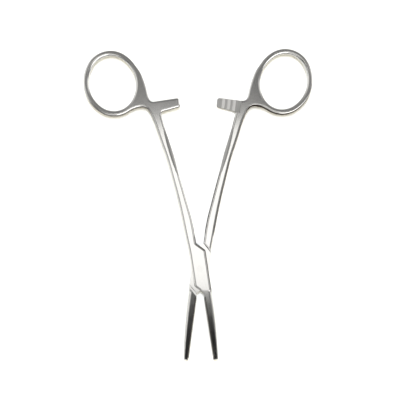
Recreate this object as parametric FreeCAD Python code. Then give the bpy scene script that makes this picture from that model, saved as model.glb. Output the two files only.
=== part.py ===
import FreeCAD, Part
import math
import os

V = FreeCAD.Vector

# Straight artery forceps with a box lock. Sizes are millimetres, angles are degrees.
# Each half is drawn as if the jaws were shut: pivot axis at x = 0, y = 0, rings towards +y,
# jaw tips towards -y, underside of the box at z = 0. The drawn half has its shank at -x and
# its jaw at +x; the tongue half is the same drawing, mirrored.

# How far the two halves stand open
opening_angle = 16.0

# Box in the middle
box_thick = 4.4
box_half_width = 3.5
shoulder_reach = 10.95
inner_corner_round = 0.4

# Tongue of the other half, which passes through the slot of the box
tongue_thick = 1.7
tongue_half_width = 3.7
tongue_play = 0.08
shoulder_play = 0.12
shoulder_bevel_run = 0.9
shoulder_bevel_drop = 0.75

# Pivot pin, riveted flush with the box
pin_radius = 1.5
pin_play = 0.04

# Finger ring: an oval hole with an even wall, placed by its inner side and its lowest point
ring_side_x = -13.16
ring_low_y = 70.78
hole_half_width = 10.2
hole_half_height = 12.05
oval_end_share = 0.88
ring_lean = 5.0
ring_wall = 2.3
ring_flat = 0.2
ring_leaves_at = 27.0
ring_meets_at = 281.0

# Neck and shank: their outer and inner edges pass through these points
handle_thick = 3.8
edge_round = 0.95
shoulder_over_edge = 0.15
arm_corner_over_edge = 0.1
middle_gap = 0.16
taper_after_shoulder = 2.05
taper_length = 31.0
box_side_y = 5.0
shank_parts_after_shoulder = 4.05
neck_under = ((-17.5, 72.9), (-15.4, 73.1), (-13.6, 72.8), (-12.3, 71.85), (-11.35, 70.2))
shank_outer = ((-10.6, 67.7), (-8.65, 57.3), (-7.25, 50.0), (-6.15, 41.0), (-5.2, 32.2))
shank_outer += ((-4.5, 23.5), (-4.1, 16.0))
shank_inner = ((-0.35, 21.5), (-1.2, 28.6), (-2.1, 35.8), (-3.05, 43.0), (-3.85, 50.0))
shank_inner += ((-5.05, 57.3), (-6.05, 63.5))
neck_over = ((-11.3, 80.6), (-11.85, 84.0), (-12.75, 87.6))
neck_start = (-11.15, 77.6)

# Ground facet along the inner edge of the shank, above and below
facet_x = -6.05
facet_y = 51.5
facet_width = 2.0
facet_tilt = 22.0
facet_radius = 180.0
facet_heading = 98.5

# Ratchet arm
arm_low_y = 70.6
arm_high_y = 74.65
arm_overlap = 4.0
arm_neck = (-10.45, 74.65)
arm_neck_round = 2.0
arm_root = (-6.6, 69.6)
arm_root_below = (-6.45, 67.2)
arm_root_round = 0.9

# Ratchet teeth
tooth_count = 3
tooth_pitch = 2.35
first_crest = 3.6
tooth_depth = 0.55
tooth_ramp = 1.35
tooth_drop = 0.15
ratchet_gap = 0.16
ratchet_length = 10.5
ratchet_low_y = 69.1

# Jaw, D-shaped across, with a cross-serrated face
jaw_length = 40.4
jaw_start_y = -9.0
jaw_root_width = 3.55
jaw_mid_width = 3.3
jaw_tip_width = 2.05
jaw_stations = 6
jaw_mid_thick = 3.75
jaw_tip_thick = 2.3
jaw_side_round = 0.7
jaw_tip_corner = 1.4
jaw_nose_round = 0.8
jaw_nose_flare = 11.3
jaw_face_stock = 1.0
serration_pitch = 1.0
serration_depth = 0.5
serration_gap = 0.1
serration_after_shoulder = 1.65

mid_z = box_thick / 2.0
ring_x = ring_side_x - ring_wall - hole_half_width
ring_y = ring_low_y + ring_wall + hole_half_height
hole_edge_round = ring_wall - edge_round - ring_flat
shoulder_round = edge_round + shoulder_over_edge
arm_corner = edge_round + arm_corner_over_edge
taper_start_y = shoulder_reach + taper_after_shoulder
taper_end_y = taper_start_y + taper_length
shank_parts_y = shoulder_reach + shank_parts_after_shoulder
serration_start = shoulder_reach + serration_after_shoulder
face_x = middle_gap / 2.0
arm_tip_x = arm_overlap / 2.0
far = 60.0
smallest_bow = 0.00001
smallest_turn = 0.000001


def flat(x, y):
    return V(x, y, 0.0)


def line(a, b):
    return Part.LineSegment(a, b).toShape()


def arc_leaving(start, heading, end):
    """Arc that leaves its start along a heading."""
    chord = end - start
    along = V(chord).normalize()
    cosine = along.dot(heading)
    bow = (heading - along * cosine) * (chord.Length / 2.0 / (1.0 + cosine))
    if bow.Length < smallest_bow:
        return line(start, end)
    return Part.Arc(start, (start + end) / 2.0 + bow, end).toShape()


def pair_of_arcs(start, end, leaving, arriving):
    """Two arcs that meet smoothly on the way and keep to the headings at both ends."""
    run = end - start
    straight = run.dot(leaving + arriving)
    turning = 2.0 * (1.0 - leaving.dot(arriving)) * run.dot(run)
    reach = run.dot(run) / (straight + math.sqrt(straight * straight + turning))
    meeting = (start + leaving * reach + end - arriving * reach) / 2.0
    across = (end - arriving * reach - meeting).normalize()
    return [arc_leaving(start, leaving, meeting), arc_leaving(meeting, across, end)]


def heading_between(before, at, after):
    """Heading, at the middle one of three points, of the circle through all three."""
    come = at - before
    go = after - at
    return (come / come.dot(come) + go / go.dot(go)).normalize()


def flowing(points, leaving, arriving):
    """Smooth outline through the points, made of arcs that all run into one another."""
    headings = [leaving]
    headings += [heading_between(*three) for three in zip(points, points[1:], points[2:])]
    headings.append(arriving)
    edges = []
    for start, end, here, there in zip(points, points[1:], headings, headings[1:]):
        edges += pair_of_arcs(start, end, here, there)
    return edges


def plate(points, direction):
    """Closed polygon carried straight along a direction."""
    return Part.Face(Part.makePolygon(points + points[:1])).extrude(direction)


def rounded(before, at, after, radius):
    """Where a rounded corner starts, its arc, and where it ends."""
    back = (before - at).normalize()
    ahead = (after - at).normalize()
    half_angle = back.getAngle(ahead) / 2.0
    run = radius / math.tan(half_angle)
    inwards = (back + ahead).normalize()
    centre = at + inwards * (radius / math.sin(half_angle))
    start = at + back * run
    end = at + ahead * run
    arc = Part.Arc(start, centre - inwards * radius, end).toShape()
    return start, arc, end


def path(stops, radii):
    """Straight lines through the stops, with every corner between them rounded."""
    edges = []
    here = stops[0]
    for before, at, after, radius in zip(stops, stops[1:], stops[2:], radii):
        start, arc, end = rounded(before, at, after, radius)
        edges += [line(here, start), arc]
        here = end
    edges.append(line(here, stops[-1]))
    return edges


def facing(angle):
    return flat(math.cos(math.radians(angle)), math.sin(math.radians(angle)))


def oval_arcs():
    """The four arcs of the hole, from its right: middle, radius and the angle at which each ends."""
    short = min(hole_half_width, hole_half_height)
    long = max(hole_half_width, hole_half_height)
    end_radius = oval_end_share * short
    end_offset = long - end_radius
    flatness = (short * short + end_offset * end_offset - end_radius * end_radius) / 2.0
    side_radius = flatness / (short - end_radius)
    side_offset = side_radius - short
    meets_at = math.degrees(math.atan2(end_offset, side_offset))
    if hole_half_width > hole_half_height:
        meets_at = 90.0 - meets_at
        right, up, radii = end_offset, -side_offset, (end_radius, side_radius)
    else:
        right, up, radii = -side_offset, end_offset, (side_radius, end_radius)
    arcs = [(facing(ring_lean) * right, radii[0], ring_lean + meets_at)]
    arcs.append((facing(ring_lean + 90.0) * up, radii[1], ring_lean + 180.0 - meets_at))
    arcs.append((facing(ring_lean) * -right, radii[0], ring_lean + 180.0 + meets_at))
    arcs.append((facing(ring_lean + 90.0) * -up, radii[1], ring_lean + 360.0 - meets_at))
    arcs.append((facing(ring_lean) * right, radii[0], ring_lean + 360.0 + meets_at))
    return arcs


def ring_point(angle, wall):
    """Point where the oval, a wall's width outside the hole, faces an angle from +x."""
    middle, radius = [(arc[0], arc[1]) for arc in oval_arcs() if angle <= arc[2]][0]
    return flat(ring_x, ring_y) + middle + facing(angle) * (radius + wall)


def ring_oval(wall, start, end):
    """The oval, a wall's width outside the hole, between two angles from +x."""
    stops = [start] + [arc[2] for arc in oval_arcs() if start < arc[2] < end] + [end]
    edges = []
    for first, last in zip(stops, stops[1:]):
        if last - first > smallest_turn:
            on_arc = [ring_point(angle, wall) for angle in (first, (first + last) / 2.0, last)]
            edges.append(Part.Arc(*on_arc).toShape())
    return edges


def down_the_shank(half_width):
    """From the ring, under the neck and down the outer edge to the side of the box."""
    points = [ring_point(ring_meets_at, ring_wall)]
    points += [flat(x, y) for x, y in neck_under + shank_outer]
    points += [flat(-half_width, box_side_y)]
    return flowing(points, facing(ring_meets_at + 90.0), flat(0, -1))


def round_the_box(half_width):
    """Down the left side of the box, round its lower end and up to the shoulder and the shank."""
    side = flat(-half_width, box_side_y)
    low_left = flat(-half_width, half_width - shoulder_reach)
    low_middle = flat(0, -shoulder_reach)
    low_right = flat(half_width, -shoulder_reach)
    high_right = flat(half_width, shoulder_reach - half_width)
    shoulder = flat(-face_x, shoulder_reach + face_x)
    shank = flat(-face_x, shank_parts_y)
    stops = (side, low_left, low_middle, low_right, high_right, shoulder, shank)
    return path(stops, (shoulder_round,) * 4 + (inner_corner_round,))


def round_the_arm():
    """Up the inner edge of the shank, round the ratchet arm and back up to the ring."""
    below = flat(arm_root_below[0], arm_root_below[1])
    root = flat(arm_root[0], arm_root[1])
    low_tip = flat(arm_tip_x, arm_low_y)
    high_tip = flat(arm_tip_x, arm_high_y)
    neck = flat(arm_neck[0], arm_neck[1])
    above = flat(neck_start[0], neck_start[1])
    radii = (arm_root_round, arm_corner, arm_corner, arm_neck_round)
    round_arm = path((below, root, low_tip, high_tip, neck, above), radii)[1:-1]
    arm_starts = round_arm[0].Vertexes[0].Point
    arm_ends = round_arm[-1].Vertexes[-1].Point
    inner = [flat(-face_x, shank_parts_y)]
    inner += [flat(x, y) for x, y in shank_inner]
    inner += [arm_starts]
    over = [arm_ends] + [flat(x, y) for x, y in neck_over] + [ring_point(ring_leaves_at, ring_wall)]
    up = flowing(inner, flat(0, 1), (root - below).normalize())
    on = flowing(over, (above - neck).normalize(), facing(ring_leaves_at + 90.0))
    return up + round_arm + on


def half_plan(half_width):
    edges = ring_oval(ring_wall, ring_leaves_at, ring_meets_at)
    edges += down_the_shank(half_width)
    edges += round_the_box(half_width)
    edges += round_the_arm()
    hole = ring_oval(0.0, ring_lean, ring_lean + 360.0)
    return Part.makeFace([Part.Wire(edges), Part.Wire(hole)], "Part::FaceMakerBullseye")


def thickness_side():
    """What the side view shows: full thickness at the box, thinner handles."""
    box_up = box_thick / 2.0
    handle_up = handle_thick / 2.0
    level = flat(0, 1)
    edges = []
    for side in (1, -1):
        first = V(-far, -far, mid_z + side * box_up)
        start = V(-far, taper_start_y, mid_z + side * box_up)
        end = V(-far, taper_end_y, mid_z + side * handle_up)
        last = V(-far, 2.0 * far, mid_z + side * handle_up)
        edges += [line(first, start)] + pair_of_arcs(start, end, level, level) + [line(end, last)]
    edges.append(line(V(-far, -far, mid_z - box_up), V(-far, -far, mid_z + box_up)))
    edges.append(line(V(-far, 2.0 * far, mid_z - handle_up), V(-far, 2.0 * far, mid_z + handle_up)))
    outline = Part.Wire(Part.sortEdges(edges)[0])
    return Part.Face(outline).extrude(V(2.0 * far, 0, 0))


def faces_up_or_down(face):
    low_u, high_u, low_v, high_v = face.ParameterRange
    return abs(face.normalAt((low_u + high_u) / 2.0, (low_v + high_v) / 2.0).z) > math.sqrt(0.5)


def rim(shape, of_the_hole):
    """Edges between upright walls and the top or bottom, of the ring's hole or of the outside."""
    walls = [face for face in shape.Faces if not faces_up_or_down(face)]
    wall_edges = [edge for face in walls for edge in face.Edges]
    picked = []
    for face in shape.Faces:
        if not faces_up_or_down(face):
            continue
        for wire in face.Wires:
            if wire.isSame(face.OuterWire) == of_the_hole:
                continue
            picked += [edge for edge in wire.Edges if any(edge.isSame(wall) for wall in wall_edges)]
    return picked


def facet_cutter(side):
    """Large shallow cylinder that grinds the facet, above (side 1) or below (side -1)."""
    a = math.radians(facet_heading)
    t = math.radians(facet_tilt)
    along = V(math.cos(a), math.sin(a), 0)
    inwards = V(math.sin(a), -math.cos(a), 0)
    outwards = inwards * math.sin(t) + V(0, 0, side * math.cos(t))
    downhill = inwards * math.cos(t) - V(0, 0, side * math.sin(t))
    ridge = V(facet_x, facet_y, mid_z + side * handle_thick / 2.0)
    middle = ridge + outwards * facet_radius
    start = middle - downhill * 2.0 * facet_width
    return Part.makeCylinder(facet_radius, 4.0 * facet_width, start, downhill)


def forged_handle(half_width):
    """Ring, neck, arm, shank and box region, with all their edges rounded."""
    body = half_plan(half_width).extrude(V(0, 0, box_thick)).common(thickness_side())
    body = body.makeFillet(hole_edge_round, rim(body, True))
    body = body.makeFillet(edge_round, rim(body, False))
    return body.cut(facet_cutter(1)).cut(facet_cutter(-1))


def along_jaw(y, root, middle, tip):
    """A size of the jaw at y: a smooth curve through its root, middle and tip values."""
    t = (y - jaw_start_y) / (-jaw_length - jaw_start_y)
    return root * (1 - t) * (1 - 2 * t) + middle * 4 * t * (1 - t) + tip * t * (2 * t - 1)


def jaw_section(y):
    width = along_jaw(y, jaw_root_width, jaw_mid_width, jaw_tip_width)
    up = along_jaw(y, box_thick, jaw_mid_thick, jaw_tip_thick) / 2.0
    r = jaw_side_round * up
    bend = r * math.sqrt(0.5)
    inner = -jaw_face_stock
    a = V(inner, y, mid_z - up)
    b = V(width - r, y, mid_z - up)
    b_mid = V(width - r + bend, y, mid_z - up + r - bend)
    c = V(width, y, mid_z - up + r)
    d = V(width, y, mid_z + up - r)
    d_mid = V(width - r + bend, y, mid_z + up - r + bend)
    e = V(width - r, y, mid_z + up)
    f = V(inner, y, mid_z + up)
    edges = [line(a, b), Part.Arc(b, b_mid, c).toShape(), line(c, d)]
    edges += [Part.Arc(d, d_mid, e).toShape(), line(e, f), line(f, a)]
    return Part.Wire(edges)


def tip_room():
    """Room that the jaw keeps to at its tip: rounded outer corner in plan, rounded nose from the side."""
    steep = far * math.tan(math.radians(jaw_nose_flare))
    left = flat(-far, -jaw_length)
    tip = flat(jaw_tip_width, -jaw_length)
    right = flat(jaw_tip_width + steep, far - jaw_length)
    edges = path((left, tip, right), (jaw_tip_corner,))
    edges += [line(right, flat(-far, far)), line(flat(-far, far), left)]
    plan = Part.Face(Part.Wire(edges)).extrude(V(0, 0, box_thick))
    low = V(-far, -jaw_length, mid_z - jaw_tip_thick / 2.0)
    high = V(-far, -jaw_length, mid_z + jaw_tip_thick / 2.0)
    low_end = low + V(0, far, -steep)
    high_end = high + V(0, far, steep)
    edges = path((low_end, low, high, high_end), (jaw_nose_round,) * 2)
    edges.append(line(high_end, low_end))
    return plan.common(Part.Face(Part.Wire(edges)).extrude(V(2.0 * far, 0, 0)))


def jaw():
    step = (-jaw_length - jaw_start_y) / (jaw_stations - 1)
    sections = [jaw_section(jaw_start_y + step * i) for i in range(jaw_stations)]
    return Part.makeLoft(sections, True, False).common(tip_room())


def face_cutter(phase):
    """What lies beyond the jaw's face: smooth behind, then the cross serrations."""
    inside = shoulder_reach - inner_corner_round
    beside = 3.0 * jaw_face_stock
    middle = serration_gap / 2.0
    swing = phase * serration_depth / 2.0
    quarter = serration_pitch / 4.0
    points = [flat(-beside, beside - inside), flat(face_x, -face_x - inside)]
    points.append(flat(face_x, -serration_start))
    count = int((jaw_length - serration_start) / serration_pitch)
    for i in range(count):
        y = -serration_start - i * serration_pitch
        points.append(flat(middle + swing, y - quarter))
        points.append(flat(middle - swing, y - 3.0 * quarter))
    points.append(flat(middle, -jaw_length - serration_pitch))
    points.append(flat(-beside, -jaw_length - serration_pitch))
    return plate(points, V(0, 0, box_thick))


def slot():
    """Slot right through the box for the tongue; its ends follow the shoulders."""
    reach = shoulder_reach + shoulder_play
    low = mid_z - tongue_thick / 2.0 - tongue_play
    points = [V(-far, -far + reach, low), V(far, far + reach, low)]
    points += [V(far, far - reach, low), V(-far, -far - reach, low)]
    return plate(points, V(0, 0, tongue_thick + 2.0 * tongue_play))


def beside_tongue(side):
    """What is cut off above (side 1) or below (side -1) the tongue, with bevelled ends."""
    reach = (shoulder_reach + shoulder_play) * math.sqrt(0.5)
    bottom = mid_z + side * tongue_thick / 2.0
    bevel = mid_z + side * (box_thick / 2.0 - shoulder_bevel_drop)
    top = mid_z + side * box_thick / 2.0
    beyond = mid_z + side * box_thick
    wide = reach + shoulder_bevel_run
    rim_points = ((-reach, bottom), (reach, bottom), (reach, bevel), (wide, top), (wide, beyond))
    rim_points += ((-wide, beyond), (-wide, top), (-reach, bevel))
    across = V(-1, 1, 0).normalize()
    along = V(1, 1, 0).normalize()
    points = [across * d - along * far + V(0, 0, z) for d, z in rim_points]
    return plate(points, along * (2.0 * far))


def ratchet_cutter(side):
    """What is cut off above (side 1) or below (side -1) the ratchet arm, along its teeth."""
    crest = mid_z - side * ratchet_gap / 2.0
    gullet = crest - side * tooth_depth
    beyond = mid_z + side * box_thick
    start = arm_tip_x + arm_corner
    end = arm_tip_x - ratchet_length
    points = [V(start, ratchet_low_y, beyond), V(start, ratchet_low_y, gullet)]
    for i in range(tooth_count):
        x = arm_tip_x - first_crest - i * tooth_pitch
        points.append(V(x + tooth_ramp, ratchet_low_y, gullet))
        points.append(V(x, ratchet_low_y, crest))
        points.append(V(x - tooth_drop, ratchet_low_y, gullet))
    points += [V(end, ratchet_low_y, gullet), V(end, ratchet_low_y, beyond)]
    return plate(points, V(0, arm_high_y - ratchet_low_y + arm_corner, 0))


def bore(radius):
    return Part.makeCylinder(radius, 2.0 * box_thick, V(0, 0, -box_thick / 2.0))


def turned(shape, angle):
    shape.rotate(V(0, 0, 0), V(0, 0, 1), angle)
    return shape


def whole_half(half_width, phase):
    return forged_handle(half_width).fuse(jaw().cut(face_cutter(phase)))


def box_half():
    half = whole_half(box_half_width, 1)
    half = half.cut(slot())
    half = half.cut(ratchet_cutter(-1))
    half = half.cut(bore(pin_radius))
    return turned(half, opening_angle / 2.0)


def tongue_half():
    half = whole_half(tongue_half_width, -1)
    half = half.cut(beside_tongue(1))
    half = half.cut(beside_tongue(-1))
    half = half.cut(ratchet_cutter(1))
    half = half.cut(bore(pin_radius + pin_play))
    half = half.mirror(V(0, 0, 0), V(1, 0, 0))
    return turned(half, -opening_angle / 2.0)


def pivot_pin():
    return Part.makeCylinder(pin_radius, box_thick)


os.makedirs("parts", exist_ok=True)
box_half().exportStep("parts/box_half.step")
tongue_half().exportStep("parts/tongue_half.step")
pivot_pin().exportStep("parts/pivot_pin.step")
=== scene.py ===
import math

import bmesh
import bpy
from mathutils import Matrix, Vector


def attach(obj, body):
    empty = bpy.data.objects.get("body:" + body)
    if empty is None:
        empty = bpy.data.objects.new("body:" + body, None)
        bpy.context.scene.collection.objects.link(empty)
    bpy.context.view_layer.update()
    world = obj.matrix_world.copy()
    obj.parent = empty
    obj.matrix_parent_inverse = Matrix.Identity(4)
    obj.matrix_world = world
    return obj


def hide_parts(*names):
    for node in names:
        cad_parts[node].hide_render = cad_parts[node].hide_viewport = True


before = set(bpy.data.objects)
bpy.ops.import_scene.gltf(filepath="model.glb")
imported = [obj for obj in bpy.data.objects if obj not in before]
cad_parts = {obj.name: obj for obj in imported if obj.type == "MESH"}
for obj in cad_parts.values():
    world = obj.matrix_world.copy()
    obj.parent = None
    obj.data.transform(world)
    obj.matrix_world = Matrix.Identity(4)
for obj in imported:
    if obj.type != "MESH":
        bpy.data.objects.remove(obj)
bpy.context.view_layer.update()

# The photograph: how much of the table it spans, how high the camera stands over it, how far it
# is rolled in degrees, and how far the pivot lies below the picture's middle
PHOTO_SPAN = 0.1750
CAMERA_HEIGHT = 0.5
CAMERA_ROLL = 0.6
PIVOT_BELOW_MIDDLE = 0.02966
SENSOR_WIDTH = 36.0
CLIP_START = 0.01

# How far apart two corners of the forged mesh still count as one, and the degrees of a bend from
# which an edge stays sharp
SAME_CORNER = 0.000002
SHARP_ANGLE = 17.0

# Flat faces stay level in shading: how upright and how large they are, how upright a corner has to
# be to count as theirs, and how far the ratchet teeth, which are left alone, reach from the middle
LEVEL_FACE = 0.99999
LEVEL_AREA = 2e-9
LEVEL_REACH = 0.85
TEETH_REACH = 0.0012

# Thickness of ring, neck and arm, and height of the instrument's middle over the table
HANDLE_THICK = 0.0038
MIDDLE_HEIGHT = 0.0022

# Low crown over ring, neck and arm: where it starts, the length over which it grows, the depth it
# reaches and the share that is left of the depth
CROWN_FROM = 0.044
CROWN_BLEND = 0.012
CROWN_DEPTH = 0.0012
CROWN_FLATTEN = 0.62

# Ratchet arm near its root: the stretch that is levelled, its low edge at the root and that edge's
# slope, its high edge, their rounding, how high the stretch lies in shares of the half thickness,
# and the spacing and number of the cuts across it
ARM_BAND = (-0.0068, -0.0042)
ARM_ROOT = -0.0066
ARM_LOW = 0.0696
ARM_SLOPE = 0.1163
ARM_HIGH = 0.07465
ARM_ROUND = 0.00095
ARM_OUTSIDE = 0.6
ARM_CUT = 0.0002
ARM_CUTS = 12

# Jaw from the side: where it starts and how far it reaches, its half thickness at root, middle
# and tip, the length of its run out of the box, and how much hollower the right half's jaw is ground
JAW_ROOT = -0.009
JAW_REACH = 0.0314
JAW_HEIGHTS = (0.0022, 0.001875, 0.00115)
ROOT_RUN = 0.0012
JAW_HOLLOW = 0.00063

# Each half stands open by this, one to either side
HALF_OPEN = math.radians(8.0)

# Serrations: where they start below the pivot, how far apart they are, how far across the jaw the
# painted shade along their roots reaches and over what width it fades
SERRATED_FROM = -0.0126
SERRATION_PITCH = 0.001
SERRATION_DEEP = 0.0007
SERRATION_FADE = 0.0003

# How much of the normal points up where a wall starts and where it is wholly a wall
WALL_FROM = 0.90
WALL_TO = 0.66

# Where walls get painted shade (darkened towards brown, and rougher), in metres along the halves as
# drawn: beside the box on the left half, on the shank of the right half, under the rings and in the
# notch under the right neck
BOX_WALL = (-0.0105, 0.014)
SHANK_WALL = (0.0155, 0.067)
RING_FOOT = (0.061, 0.0795)
NOTCH_ACROSS = (-0.0180, -0.0105)
NOTCH_TOP = (0.0745, 0.0735)

# Where the ratchet teeth lie across and along the halves, and how far they reach from the middle
RATCHET_ACROSS = (-0.0087, 0.003)
RATCHET_ALONG = (0.0688, 0.0762)
RATCHET_REACH = (0.0011, 0.0009)

# Colours of the steel, dim and clear in clouds, of the painted shade in serration roots and on walls,
# of the dark brown painted shade that is mixed into these, and of the pin
STEEL_DIM = (0.585, 0.585, 0.575, 1.0)
STEEL_CLEAR = (0.62, 0.62, 0.615, 1.0)
STEEL_PAINTED_SHADE = (0.045, 0.034, 0.026, 1.0)
PAINTED_SHADE_BROWN = (0.030, 0.024, 0.018, 1.0)
PIN_DIM = (0.575, 0.575, 0.565, 1.0)
PIN_CLEAR = (0.61, 0.61, 0.605, 1.0)

# Relief of the polish: its share and its depth
RELIEF_STRENGTH = 0.05
RELIEF_DEPTH = 0.00002

# White table: how far it reaches, and its two faint tints
TABLE_REACH = 3.0
TABLE_DIM = (0.915, 0.875, 0.745, 1.0)
TABLE_CLEAR = (0.925, 0.885, 0.755, 1.0)

# Grey level and tint of the studio walls
BACKGROUND = 0.31
STUDIO_TINT = (1.0, 0.985, 0.96, 1.0)

# Lamp over the rings: its place, what it aims at, its size, watts and colour
KEY_PLACE = (0.0, 0.42, 1.2)
KEY_AIM = (0.0, 0.03, 0.0)
KEY_SIZE = (0.2, 0.6)
KEY_WATTS = 17.0
KEY_COLOUR = (0.9, 0.98, 1.2)


class Value:
    """A node socket that takes part in Python expressions."""

    def __init__(self, nodes, socket):
        self.nodes = nodes
        self.socket = socket

    def out(self, name):
        """Another output of the same node."""
        return Value(self.nodes, self.socket.node.outputs[name])

    def maths(self, operation, *others):
        return self.nodes.node("ShaderNodeMath", {"operation": operation}, self, *others)

    def larger(self, other):
        return self.maths("MAXIMUM", other)

    def __add__(self, other):
        return self.maths("ADD", other)

    def __radd__(self, other):
        return self.maths("ADD", other)

    def __sub__(self, other):
        return self.maths("SUBTRACT", other)

    def __rsub__(self, other):
        return self.nodes.node("ShaderNodeMath", {"operation": "SUBTRACT"}, other, self)

    def __mul__(self, other):
        return self.maths("MULTIPLY", other)

    def __rmul__(self, other):
        return self.maths("MULTIPLY", other)

    def __truediv__(self, other):
        return self.maths("DIVIDE", other)

    def __abs__(self):
        return self.maths("ABSOLUTE")

    def band(self, start, end):
        """0 on the start side and 1 on the end side, eased in between."""
        settings = {"interpolation_type": "SMOOTHSTEP"}
        return self.nodes.node("ShaderNodeMapRange", settings, self, start, end, 0.0, 1.0)

    def between(self, low, high, ease):
        """1 between two values and 0 outside them, eased at both."""
        return self.band(low - ease, low + ease) * self.band(high + ease, high - ease)


class Nodes:
    """Node tree of a material, of the world or of a skin."""

    def __init__(self, tree):
        self.tree = tree
        tree.nodes.clear()

    def node(self, kind, settings=None, *inputs, **named):
        """Any node: its type, its settings, and what its inputs hold or are linked to."""
        made = self.tree.nodes.new(kind)
        for key, value in (settings or {}).items():
            setattr(made, key, value)
        sockets = list(zip(made.inputs, inputs))
        sockets += [(made.inputs[name.replace("_", " ")], value) for name, value in named.items()]
        for socket, value in sockets:
            self.feed(socket, value)
        return Value(self, made.outputs[0]) if made.outputs else made

    def feed(self, socket, value):
        if isinstance(value, Value):
            self.tree.links.new(value.socket, socket)
        else:
            socket.default_value = value

    def parts(self, vector):
        split = self.node("ShaderNodeSeparateXYZ", None, vector)
        return [split.out(axis) for axis in "XYZ"]

    def noise(self, place, scale, detail=2.0):
        return self.node("ShaderNodeTexNoise", None, Vector=place, Scale=scale, Detail=detail)

    def stretched(self, place, turn, along):
        """Place for a pattern drawn out along a heading in the instrument's plane."""
        return self.node("ShaderNodeMapping", None, Vector=place, Rotation=(0.0, 0.0, turn),
                         Scale=(1.0, along, 1.0))

    def mixed(self, share, first, second):
        """A colour between two, by share."""
        mix = self.node("ShaderNodeMix", {"data_type": "RGBA"}).socket.node
        self.feed(mix.inputs["Factor"], share)
        colours = [socket for socket in mix.inputs if socket.type == "RGBA"]
        self.feed(colours[0], first)
        self.feed(colours[1], second)
        return Value(self, [socket for socket in mix.outputs if socket.type == "RGBA"][0])

    def relief(self, height):
        """Fine relief of a polished surface."""
        return self.node("ShaderNodeBump", None, Strength=RELIEF_STRENGTH, Distance=RELIEF_DEPTH,
                         Height=height)

    def metal(self, colour, rough, relief):
        return self.node("ShaderNodeBsdfPrincipled", None, Base_Color=colour, Metallic=1.0,
                         Roughness=rough, Normal=relief)


def new_material(name):
    """A material with an empty node tree."""
    material = bpy.data.materials.new(name)
    material.use_nodes = True
    return material, Nodes(material.node_tree)


def forging(node, turn, side, material):
    """Finished copy of a CAD node: one closed skin of the steel given."""
    mesh = node.data.copy()
    mesh.name = node.name + "_skin"
    mesh.materials.clear()
    piece = bpy.data.objects.new(node.name + "_steel", mesh)
    bpy.context.scene.collection.objects.link(piece)
    if side:
        cut_arm_band(mesh, turn, side)
        finish_shape(mesh, turn, side)
    smooth_forging(piece, material)
    return piece


def smooth_forging(piece, material):
    """Close the skin, shade it smooth but for its sharp and its level parts, and give it its steel."""
    tree = bpy.data.node_groups.new("Forged_skin", "GeometryNodeTree")
    tree.interface.new_socket("Geometry", in_out="INPUT", socket_type="NodeSocketGeometry")
    corner = tree.interface.new_socket("Same corner", in_out="INPUT", socket_type="NodeSocketFloat")
    sharp = tree.interface.new_socket("Sharp angle", in_out="INPUT", socket_type="NodeSocketFloat")
    finish = tree.interface.new_socket("Finish", in_out="INPUT", socket_type="NodeSocketMaterial")
    tree.interface.new_socket("Geometry", in_out="OUTPUT", socket_type="NodeSocketGeometry")
    s = Nodes(tree)
    given = s.node("NodeGroupInput")
    loose = s.node("GeometryNodeRemoveAttribute", None, given, Name="custom_normal")
    closed = s.node("GeometryNodeMergeByDistance", None, loose, Distance=given.out("Same corner"))
    bend = s.node("GeometryNodeInputMeshEdgeAngle")
    over = {"data_type": "FLOAT", "operation": "GREATER_THAN"}
    crisp = s.node("FunctionNodeCompare", over, bend, given.out("Sharp angle"))
    soft = s.node("GeometryNodeSetShadeSmooth", {"domain": "FACE"}, closed)
    creased = s.node("GeometryNodeSetShadeSmooth", {"domain": "EDGE"}, soft, Selection=crisp,
                     Shade_Smooth=False)
    real = s.node("GeometryNodeRealizeInstances", None, creased)
    steel = s.node("GeometryNodeSetMaterial", None, real, Material=given.out("Finish"))
    s.node("NodeGroupOutput", None, steel)
    skin = piece.modifiers.new("skin", "NODES")
    skin.node_group = tree
    skin[corner.identifier] = SAME_CORNER
    skin[sharp.identifier] = math.radians(SHARP_ANGLE)
    skin[finish.identifier] = material
    weigh = piece.modifiers.new("even_light", "WEIGHTED_NORMAL")
    weigh.keep_sharp = True
    bpy.context.view_layer.update()
    seen = piece.evaluated_get(bpy.context.evaluated_depsgraph_get())
    done = bpy.data.meshes.new_from_object(seen)
    piece.modifiers.clear()
    piece.data = done
    bpy.data.node_groups.remove(tree)
    keep_flats_level(done)


def keep_flats_level(mesh):
    """Shade the flat faces, and the rounded edges where they meet them, as truly level."""
    upright = {}
    for face in mesh.polygons:
        flat = abs(face.normal.z) > LEVEL_FACE and face.area > LEVEL_AREA
        if flat and abs(face.center.z - MIDDLE_HEIGHT) > TEETH_REACH:
            for vertex in face.vertices:
                upright[vertex] = (0.0, 0.0, math.copysign(1.0, face.normal.z))
    normals = [tuple(corner.vector) for corner in mesh.corner_normals]
    for loop in mesh.loops:
        level = upright.get(loop.vertex_index)
        if level and normals[loop.index][2] * level[2] > LEVEL_REACH:
            normals[loop.index] = level
    mesh.normals_split_custom_set(normals)


def drawn_place(point, turn, side):
    """Place across and up the instrument as one half is drawn with the jaws shut."""
    across = (point.x * math.cos(turn) + point.y * math.sin(turn)) * side
    return across, point.y * math.cos(turn) - point.x * math.sin(turn)


def crown(up, share):
    """Height over the middle with the handle's rounded edges flattened into a low crown."""
    depth = HANDLE_THICK / 2.0 - up
    if 0.0 < depth < CROWN_DEPTH:
        return up + share * (1.0 - CROWN_FLATTEN) * depth
    return up


def arm_top(across, along):
    """Height of the ratchet arm's rounded top over the middle, near its root."""
    low_edge = ARM_LOW + (across - ARM_ROOT) * ARM_SLOPE
    inside = min(along - low_edge, ARM_HIGH - along, ARM_ROUND)
    left = ARM_ROUND - max(inside, 0.0)
    return HANDLE_THICK / 2.0 - ARM_ROUND + math.sqrt(ARM_ROUND ** 2 - left ** 2)


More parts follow.
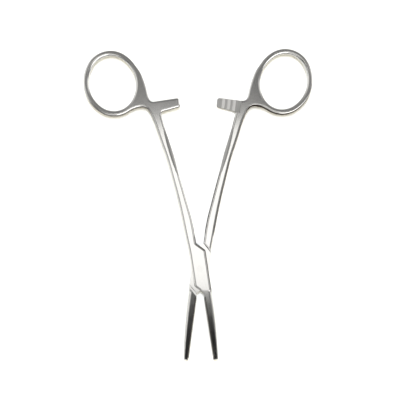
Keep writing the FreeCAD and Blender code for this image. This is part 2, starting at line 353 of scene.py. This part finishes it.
def jaw_top(along):
    """Height of the jaw's top over the middle: a parabola through root, middle and tip."""
    t = (JAW_ROOT - along) / JAW_REACH
    root, middle, tip = JAW_HEIGHTS
    return root * (1 - t) * (1 - 2 * t) + middle * 4 * t * (1 - t) + tip * t * (2 * t - 1)


def cut_arm_band(mesh, turn, side):
    """Cut the band across the arm's root finely enough to be levelled with the arm's top."""
    skin = bmesh.new()
    skin.from_mesh(mesh)
    bmesh.ops.remove_doubles(skin, verts=skin.verts, dist=SAME_CORNER)
    along = Vector((-math.sin(turn), math.cos(turn), 0.0))
    across = Vector((math.cos(turn) * side, math.sin(turn) * side, 0.0))
    cuts = [(across, ARM_BAND[0] + ARM_CUT * i) for i in range(1, ARM_CUTS)]
    cuts += [(along, ARM_LOW + ARM_CUT / 2.0 * i) for i in range(1, 2 * ARM_CUTS)]
    cuts += [(along, ARM_HIGH - ARM_CUT / 2.0 * i) for i in range(1, ARM_CUTS)]
    for way, place in cuts:
        near = set()
        for face in skin.faces:
            if any(in_arm_band(vertex.co, turn, side) for vertex in face.verts):
                near.update((face, *face.edges, *face.verts))
        bmesh.ops.bisect_plane(skin, geom=list(near), plane_co=way * place, plane_no=way,
                               dist=SAME_CORNER / 4.0)
    bmesh.ops.triangulate(skin, faces=[face for face in skin.faces if len(face.verts) > 3])
    skin.to_mesh(mesh)
    skin.free()


def in_arm_band(point, turn, side):
    """Whether a point lies on the arm's outer face where it is levelled."""
    across, along = drawn_place(point, turn, side)
    outside = (point.z - MIDDLE_HEIGHT) * side > ARM_OUTSIDE * HANDLE_THICK / 2.0
    return outside and ARM_BAND[0] < across < ARM_BAND[1] and ARM_LOW < along < ARM_HIGH


def finish_shape(mesh, turn, side):
    """Crown the handle, level the arm's root, run the jaw out of the box and hollow the right one."""
    for vertex in mesh.vertices:
        across, along = drawn_place(vertex.co, turn, side)
        over = 1.0 if vertex.co.z > MIDDLE_HEIGHT else -1.0
        up = abs(vertex.co.z - MIDDLE_HEIGHT)
        if in_arm_band(vertex.co, turn, side):
            up = max(up, arm_top(across, along))
        up = crown(up, min(max((along - CROWN_FROM) / CROWN_BLEND, 0.0), 1.0))
        if JAW_ROOT - ROOT_RUN < along < JAW_ROOT and 0.0 < across and up > jaw_top(along):
            up = jaw_top(along)
        if side < 0.0 and along < JAW_ROOT:
            t = (JAW_ROOT - along) / JAW_REACH
            up = up * (1.0 - JAW_HOLLOW * t * (1.0 - t) / jaw_top(along))
        vertex.co.z = MIDDLE_HEIGHT + over * up


def forged_steel(name, side):
    """Satin steel of one half: brushed lengthwise, with painted shade on its walls and in its
    serrations.
    """
    material, s = new_material(name)
    own = s.node("ShaderNodeTexCoord")
    drawn = s.node("ShaderNodeMapping", None, Vector=own.out("Object"), Rotation=(0.0, 0.0, -HALF_OPEN),
                   Scale=(side, 1.0, 1.0))
    across, along, up = s.parts(drawn)
    facing_x, facing_y, facing_z = s.parts(own.out("Normal"))
    upright = abs(facing_z)
    wall = upright.band(WALL_FROM, WALL_TO)
    # Painted shade on walls: beside the box, along the right shank, under the rings and in the notch
    # under the right neck the walls are darkened towards dark brown, standing in for dark reflections
    # and contact shade there
    foot = (facing_y * -1.0).band(0.10, 0.35) * along.between(*RING_FOOT, 0.003)
    if side > 0.0:
        painted_wall_shade = 0.75 * wall * facing_x.band(0.2, 0.5) * along.between(*BOX_WALL, 0.001)
        painted_wall_shade = painted_wall_shade.larger(0.5 * foot * upright.band(0.93, 0.72))
    else:
        painted_wall_shade = 0.75 * wall * along.between(*SHANK_WALL, 0.0015)
        notch = foot * across.between(*NOTCH_ACROSS, 0.001) * along.band(*NOTCH_TOP)
        painted_wall_shade = painted_wall_shade.larger(0.85 * foot * upright.band(0.965, 0.82))
        painted_wall_shade = painted_wall_shade.larger(notch * upright.band(0.99, 0.93))
    # Painted shade along the serrated edge: a dark band at the jaw's inner face and darker tooth roots,
    # standing in for the shade in the notches
    serrated = along.band(SERRATED_FROM + 0.0004, SERRATED_FROM)
    at_face = across.band(SERRATION_DEEP, SERRATION_DEEP - SERRATION_FADE) * serrated
    turns = (along - SERRATED_FROM) * (2.0 * math.pi / SERRATION_PITCH)
    groove = at_face * (turns + side * math.pi / 2.0).maths("COSINE").band(-0.2, 0.5)
    painted_shade = painted_wall_shade.larger(0.35 * at_face).larger(0.9 * groove)
    ratchet = across.between(*RATCHET_ACROSS, 0.0003) * along.between(*RATCHET_ALONG, 0.0005)
    ratchet = ratchet * abs(up - MIDDLE_HEIGHT).band(*RATCHET_REACH)
    cloud = s.noise(drawn, 90.0, 3.0)
    brushing = s.noise(s.stretched(drawn, 0.0, 0.05), 7000.0)
    scratches = s.noise(s.stretched(drawn, 0.6, 0.03), 2600.0).band(0.66, 0.74)
    grain = s.noise(drawn, 9000.0)
    # Painted shade: by the darkening share the steel's colour turns dark brown and it gets rougher
    colour = s.mixed(painted_shade, s.mixed(cloud, STEEL_DIM, STEEL_CLEAR), STEEL_PAINTED_SHADE)
    rough = 0.055 + 0.03 * cloud + 0.02 * brushing + 0.03 * scratches + 0.2 * painted_shade + 0.3 * ratchet
    relief = s.relief(0.5 * brushing + 0.5 * grain - 0.6 * scratches)
    # Painted shade: a dark brown diffuse coat mixed over the steel by the darkening share
    shade_paint = s.node("ShaderNodeBsdfDiffuse", None, Color=PAINTED_SHADE_BROWN)
    shade = s.node("ShaderNodeMixShader", None, painted_shade, s.metal(colour, rough, relief), shade_paint)
    s.node("ShaderNodeOutputMaterial", None, shade)
    return material


def pin_steel():
    """Steel of the pivot pin, turned flush with the box: rings round its axis."""
    material, s = new_material("Turned_pin_steel")
    place = s.node("ShaderNodeTexCoord").out("Object")
    from_axis = s.node("ShaderNodeVectorMath", {"operation": "LENGTH"}, place).out("Value")
    rings = s.node("ShaderNodeTexNoise", {"noise_dimensions": "1D"}, W=from_axis, Scale=9000.0)
    cloud = s.noise(place, 400.0)
    colour = s.mixed(cloud, PIN_DIM, PIN_CLEAR)
    rough = 0.06 + 0.03 * cloud + 0.03 * rings
    s.node("ShaderNodeOutputMaterial", None, s.metal(colour, rough, s.relief(rings)))
    return material


def table():
    """Pale plain floor, wide enough for every view."""
    mesh = bpy.data.meshes.new("table")
    corners = [(x * TABLE_REACH, y * TABLE_REACH, 0) for x, y in ((-1, -1), (1, -1), (1, 1), (-1, 1))]
    mesh.from_pydata(corners, [], [(0, 1, 2, 3)])
    floor = bpy.data.objects.new("table", mesh)
    bpy.context.scene.collection.objects.link(floor)
    material, s = new_material("White_table")
    place = s.node("ShaderNodeTexCoord").out("Object")
    tint = s.mixed(s.noise(place, 3.0), TABLE_DIM, TABLE_CLEAR)
    paint = s.node("ShaderNodeBsdfDiffuse", None, Color=tint)
    s.node("ShaderNodeOutputMaterial", None, paint)
    mesh.materials.append(material)


def studio():
    """Grey studio with a white card over the box, a dark front and soft panels round about.

    x and y run as on the table and z is up. A lean is x or y for each metre up, so that each
    panel lies where level steel mirrors it into the camera; rise is in degrees.
    """
    world = bpy.data.worlds.new("Studio")
    bpy.context.scene.world = world
    world.use_nodes = True
    s = Nodes(world.node_tree)
    x, y, z = s.parts(s.node("ShaderNodeTexCoord"))
    up = z.maths("MAXIMUM", 0.02)
    lean_x = x / up
    lean_y = y / up
    rise = z.maths("ARCSINE") * (180.0 / math.pi)
    sideways = abs(x)
    leftwards = x * -1.0

    # Dark parts: the front below the jaws, but for its sides, and a spot over the right neck
    front_dark = lean_y.band(-0.085, -0.195) * (1.0 - sideways.band(0.35, 0.9))
    neck_dark = lean_x.between(0.052, 0.075, 0.006) * lean_y.between(0.082, 0.112, 0.008)
    level = BACKGROUND * (1.0 - 0.93 * front_dark) * (1.0 - 0.5 * neck_dark)

    # White card that the box and the shanks mirror
    card = abs(lean_x).band(0.10, 0.07) * lean_y.band(0.0735, 0.064) * lean_y.band(-0.115, -0.068)
    level = level + 1.45 * card

    # Low white panel in front, dimmer on the left: the light line under necks and rings
    front_panel = lean_y.band(-0.30, -0.34) * lean_y.band(-1.3, -1.0) * lean_x.between(-0.5, 1.2, 0.2)
    level = level + 3.2 * front_panel * (0.4 + 0.6 * lean_x.band(-0.04, 0.04))

    # Panels on the left: one high up, a wide glow and the far corner
    left_panel = leftwards.band(0.58, 0.66) * rise.between(33.0, 53.0, 3.0)
    left_glow = leftwards.band(0.12, 0.34) * lean_y.between(-0.15, 0.6, 0.1)
    left_back = (y - x).band(0.8, 1.3)
    level = level + 0.9 * left_panel + 0.30 * left_glow + 0.22 * left_back

    # Panels on the right: the ground facet of the left shank and, farther out, its inner edge
    right_soft = x.band(0.20, 0.30) * y.between(0.05, 0.33, 0.03)
    right_glow = x.band(0.36, 0.50) * y.between(0.0, 0.33, 0.03)
    level = level + 0.16 * right_soft + 0.42 * right_glow

    # Low light from both sides and from two corners
    corners = abs(x + y).band(0.95, 1.25) * rise.between(4.0, 20.0, 3.0)
    level = level + 0.28 * sideways.band(0.65, 0.95) + 0.8 * corners
    back = s.node("ShaderNodeBackground", None, Color=STUDIO_TINT, Strength=level)
    s.node("ShaderNodeOutputWorld", None, back)


def key_lamp():
    """Soft lamp over the rings, which the steel doesn't mirror: it lights the table."""
    light = bpy.data.lights.new("Key", "AREA")
    light.shape = "RECTANGLE"
    light.size, light.size_y = KEY_SIZE
    light.energy = KEY_WATTS
    light.color = KEY_COLOUR
    lamp = bpy.data.objects.new("Key", light)
    bpy.context.scene.collection.objects.link(lamp)
    lamp.location = KEY_PLACE
    lamp.rotation_euler = (Vector(KEY_AIM) - Vector(KEY_PLACE)).to_track_quat("-Z", "Y").to_euler()
    lamp.visible_glossy = False


def camera():
    """The photograph's camera, straight above and turned by its roll."""
    data = bpy.data.cameras.new("Above")
    data.sensor_width = SENSOR_WIDTH
    data.lens = SENSOR_WIDTH * CAMERA_HEIGHT / PHOTO_SPAN
    data.clip_start = CLIP_START
    body = bpy.data.objects.new("Above", data)
    bpy.context.scene.collection.objects.link(body)
    roll = math.radians(CAMERA_ROLL)
    body.location = (PIVOT_BELOW_MIDDLE * math.sin(roll), PIVOT_BELOW_MIDDLE * math.cos(roll),
                     CAMERA_HEIGHT)
    body.rotation_euler = (0.0, 0.0, -roll)
    bpy.context.scene.camera = body


camera()
left_steel = forged_steel("Satin_steel_left_half", 1.0)
right_steel = forged_steel("Satin_steel_right_half", -1.0)
for name, body, turn, side, steel, slot in (
        ("box_half", "box_side", HALF_OPEN, 1.0, left_steel, "satin_steel"),
        ("tongue_half", "tongue_side", -HALF_OPEN, -1.0, right_steel, "satin_steel"),
        ("pivot_pin", "box_side", 0.0, 0.0, pin_steel(), "pin_steel")):
    piece = forging(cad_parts[name], turn, side, steel)
    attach(piece, body)
    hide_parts(name)
table()
studio()
key_lamp()
bpy.context.scene.view_settings.view_transform = "Standard"
